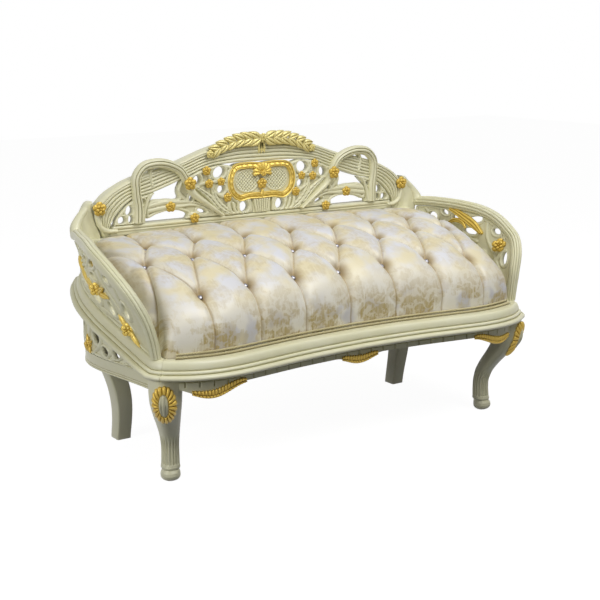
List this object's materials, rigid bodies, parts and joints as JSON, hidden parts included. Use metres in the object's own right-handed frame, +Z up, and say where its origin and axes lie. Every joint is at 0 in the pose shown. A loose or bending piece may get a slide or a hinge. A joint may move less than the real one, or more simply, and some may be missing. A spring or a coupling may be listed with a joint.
{
  "type": "upholstered bench",
  "caption": "Carved ivory and gilt bench with a pierced arched back, curved arms, cabriole front legs and a deep-buttoned damask seat",
  "frame": {"origin": "on the floor under the middle of the bench", "axes": "+X along the bench to the right seen from the front, +Y to the back, +Z up"},
  "size_m": [1.2606, 0.5584, 0.7836],
  "materials": {
    "ivory_lacquer": "ivory lacquer with a khaki glaze rubbed into the carving",
    "gold_leaf": "antiqued gold leaf over carving",
    "damask_satin": "pale satin damask with gold and cream flowers",
    "braid_trim": "twisted double-cord braid",
    "plain_board": "plain unpainted board"
  },
  "bodies": {
    "root": {"apron_drop_centre": "gold_leaf", "apron_drop_left": "gold_leaf", "apron_drop_right": "gold_leaf", "arm_flower_left": "gold_leaf", "arm_flower_right": "gold_leaf", "arm_infill_left": "ivory_lacquer", "arm_infill_right": "ivory_lacquer", "arm_rail_left": "ivory_lacquer", "arm_rail_right": "ivory_lacquer", "back_bottom_rail": "ivory_lacquer", "back_corner_left": "ivory_lacquer", "back_corner_right": "ivory_lacquer", "back_post_left": "ivory_lacquer", "back_post_right": "ivory_lacquer", "back_tracery_left": "ivory_lacquer", "back_tracery_right": "ivory_lacquer", "branch_rosette_left": "gold_leaf", "branch_rosette_right": "gold_leaf", "cartouche_frame": "gold_leaf", "cartouche_panel": "ivory_lacquer", "cartouche_rosette": "gold_leaf", "cartouche_shell": "gold_leaf", "cartouche_stem": "ivory_lacquer", "corner_block_left": "plain_board", "corner_block_right": "plain_board", "crest_garland": "gold_leaf", "crest_rail": "ivory_lacquer", "crest_rosette_left": "gold_leaf", "crest_rosette_right": "gold_leaf", "end_rosette_left": "gold_leaf", "end_rosette_right": "gold_leaf", "front_apron": "ivory_lacquer", "front_leg_left": "ivory_lacquer", "front_leg_right": "ivory_lacquer", "front_seat_rail": "ivory_lacquer", "garland_drop": "gold_leaf", "knee_ornament_left": "gold_leaf", "knee_ornament_right": "gold_leaf", "loop_branch_left": "ivory_lacquer", "loop_branch_right": "ivory_lacquer", "loop_rosette_left": "gold_leaf", "loop_rosette_right": "gold_leaf", "rail_rosette_left": "gold_leaf", "rail_rosette_right": "gold_leaf", "rear_leg_left": "ivory_lacquer", "rear_leg_right": "ivory_lacquer", "rear_seat_rail": "ivory_lacquer", "seat_braid": "braid_trim", "seat_cushion": "damask_satin", "seat_deck": "plain_board", "side_apron_left": "ivory_lacquer", "side_apron_right": "ivory_lacquer", "side_carving_left": "ivory_lacquer", "side_carving_right": "ivory_lacquer", "side_seat_rail_left": "ivory_lacquer", "side_seat_rail_right": "ivory_lacquer", "spray_rosette_left": "gold_leaf", "spray_rosette_right": "gold_leaf", "stem_rosette_left": "gold_leaf", "stem_rosette_right": "gold_leaf"}
  },
  "joints": []
}
